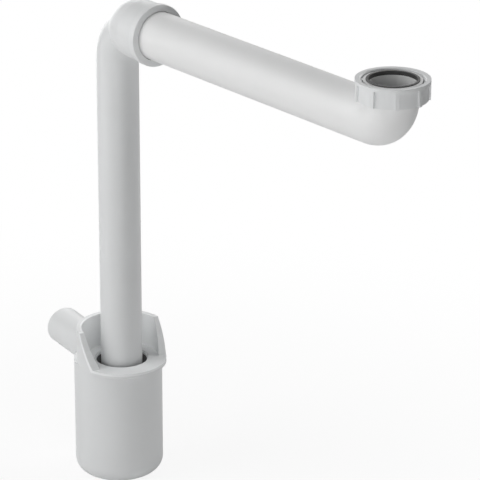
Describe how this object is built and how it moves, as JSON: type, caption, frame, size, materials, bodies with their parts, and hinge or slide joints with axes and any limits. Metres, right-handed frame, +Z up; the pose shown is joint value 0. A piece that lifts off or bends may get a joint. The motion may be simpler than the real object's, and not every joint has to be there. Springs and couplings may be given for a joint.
{
  "type": "space saving sink trap",
  "caption": "Sink trap with a long side arm, a telescoping drop pipe and a dipping cup with a wall outlet, for keeping the cupboard space clear.",
  "frame": {"origin": "centre of the outlet's open end, where it goes into the wall", "axes": "+X along the arm, away from the wall; +Z up along the drop pipe"},
  "size_m": [0.4704, 0.0765, 0.4406],
  "materials": {
    "white_plastic": "satin moulded polypropylene",
    "grey_plastic": "satin moulded polypropylene",
    "seal_rubber": "smooth black rubber"
  },
  "bodies": {
    "trap": {"trap_body": "white_plastic", "collar": "white_plastic", "seal_clamp": "white_plastic"},
    "dip_ring": {"dip_seal": "seal_rubber"},
    "drop": {"drop_pipe": "white_plastic", "socket_ring": "grey_plastic"},
    "arm_ring": {"socket_seal": "seal_rubber"},
    "arm": {"inlet_arm": "white_plastic", "flange_seal": "seal_rubber"},
    "nut": {"coupling_nut": "grey_plastic"}
  },
  "joints": [
    {"name": "drop_swivel", "type": "hinge", "parent": "trap", "child": "dip_ring", "pos_m": [0.10484, -0.01567, 0.009], "axis": [0, 0, 1], "continuous": true},
    {"name": "drop_slide", "type": "slide", "parent": "dip_ring", "child": "drop", "axis": [0, 0, 1], "range_m": [-0.012, 0.035]},
    {"name": "arm_roll", "type": "hinge", "parent": "drop", "child": "arm_ring", "pos_m": [0.14884, -0.01567, 0.308], "axis": [1, 0, 0], "continuous": true},
    {"name": "arm_slide", "type": "slide", "parent": "arm_ring", "child": "arm", "axis": [1, 0, 0], "range_m": [-0.0045, 0.007]},
    {"name": "nut_turn", "type": "hinge", "parent": "arm", "child": "nut", "pos_m": [0.43984, -0.01567, 0.336], "axis": [0, 0, 1], "continuous": true}
  ]
}
